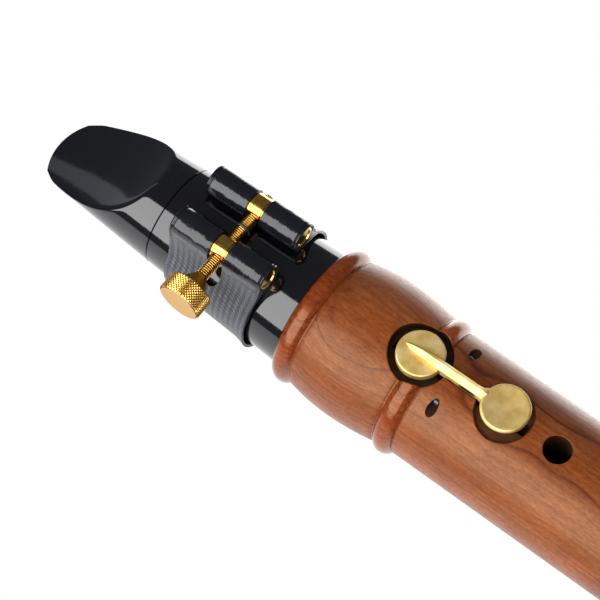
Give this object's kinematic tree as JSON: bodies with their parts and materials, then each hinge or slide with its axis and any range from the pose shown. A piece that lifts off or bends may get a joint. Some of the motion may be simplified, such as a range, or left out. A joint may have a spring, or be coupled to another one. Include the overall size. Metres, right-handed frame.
{
  "type": "small clarinet",
  "caption": "Small single-reed clarinet with a turned wooden body, a black mouthpiece, a fabric band ligature with a knurled screw, and one sprung brass key.",
  "frame": {"origin": "centre of the foot joint's flat end, on the axis of the bore", "axes": "+Z along the bore towards the mouthpiece's tip, -Y the front with the finger holes and the key, +Y the reed side"},
  "size_m": [0.0476, 0.0476, 0.32],
  "materials": {
    "wood": "oiled and polished fruitwood",
    "hard_rubber": "polished black",
    "cane": "bare cane",
    "cork": "greased cork",
    "band_fabric": "coated black weave",
    "polished_brass": "polished",
    "satin_brass": "brushed",
    "steel": "satin",
    "black_nylon": "matt",
    "pad_leather": "soft",
    "felt": "felt"
  },
  "bodies": {
    "wooden_body": {"body": "wood", "key_pin": "steel", "key_bumper": "felt"},
    "key": {"key_arm": "satin_brass", "key_cup": "satin_brass", "key_touch": "satin_brass", "key_pad": "pad_leather", "key_spring": "steel", "spring_rivet": "satin_brass"},
    "foot_cork": {"foot_tenon_cork": "cork"},
    "foot": {"foot_joint": "wood"},
    "mouthpiece_cork": {"mouthpiece_cork": "cork"},
    "mouthpiece": {"mouthpiece": "hard_rubber", "reed": "cane"},
    "ligature": {"ligature_band": "band_fabric", "ligature_bar_near": "polished_brass", "ligature_bar_far": "polished_brass"},
    "stop_ring": {"screw_stop_ring": "black_nylon"},
    "screw": {"ligature_screw": "polished_brass"}
  },
  "joints": [
    {"name": "key_hinge", "type": "hinge", "parent": "wooden_body", "child": "key", "pos_m": [0, -0.0135, 0.20795], "axis": [1, 0, 0], "range_deg": [0, 8.3], "stiffness_Nm_per_rad": 0.015, "springref_deg": -20.05, "deforming": ["key_spring"]},
    {"name": "foot_turn", "type": "hinge", "parent": "wooden_body", "child": "foot_cork", "pos_m": [0, 0, 0.057], "axis": [0, 0, 1], "continuous": true},
    {"name": "foot_pull", "type": "slide", "parent": "foot_cork", "child": "foot", "axis": [0, 0, -1], "range_m": [0, 0.016]},
    {"name": "mouthpiece_pull", "type": "slide", "parent": "wooden_body", "child": "mouthpiece_cork", "axis": [0, 0, 1], "range_m": [0, 0.016]},
    {"name": "mouthpiece_turn", "type": "hinge", "parent": "mouthpiece_cork", "child": "mouthpiece", "pos_m": [0, 0, 0.245], "axis": [0, 0, 1], "continuous": true},
    {"name": "ligature_slide", "type": "slide", "parent": "mouthpiece", "child": "ligature", "axis": [0, 0, 1], "range_m": [0, 0.068]},
    {"name": "screw_travel", "type": "slide", "parent": "ligature", "child": "stop_ring", "axis": [-1, 0, 0], "range_m": [-0.0027, 0.0027]},
    {"name": "screw_turn", "type": "hinge", "parent": "stop_ring", "child": "screw", "pos_m": [0, -0.01597, 0.2651], "axis": [-1, 0, 0], "range_deg": [-1945, 1945]}
  ],
  "couplings": [
    {"joint": "screw_turn", "follows": "screw_travel", "rad_per_m": 12566}
  ]
}
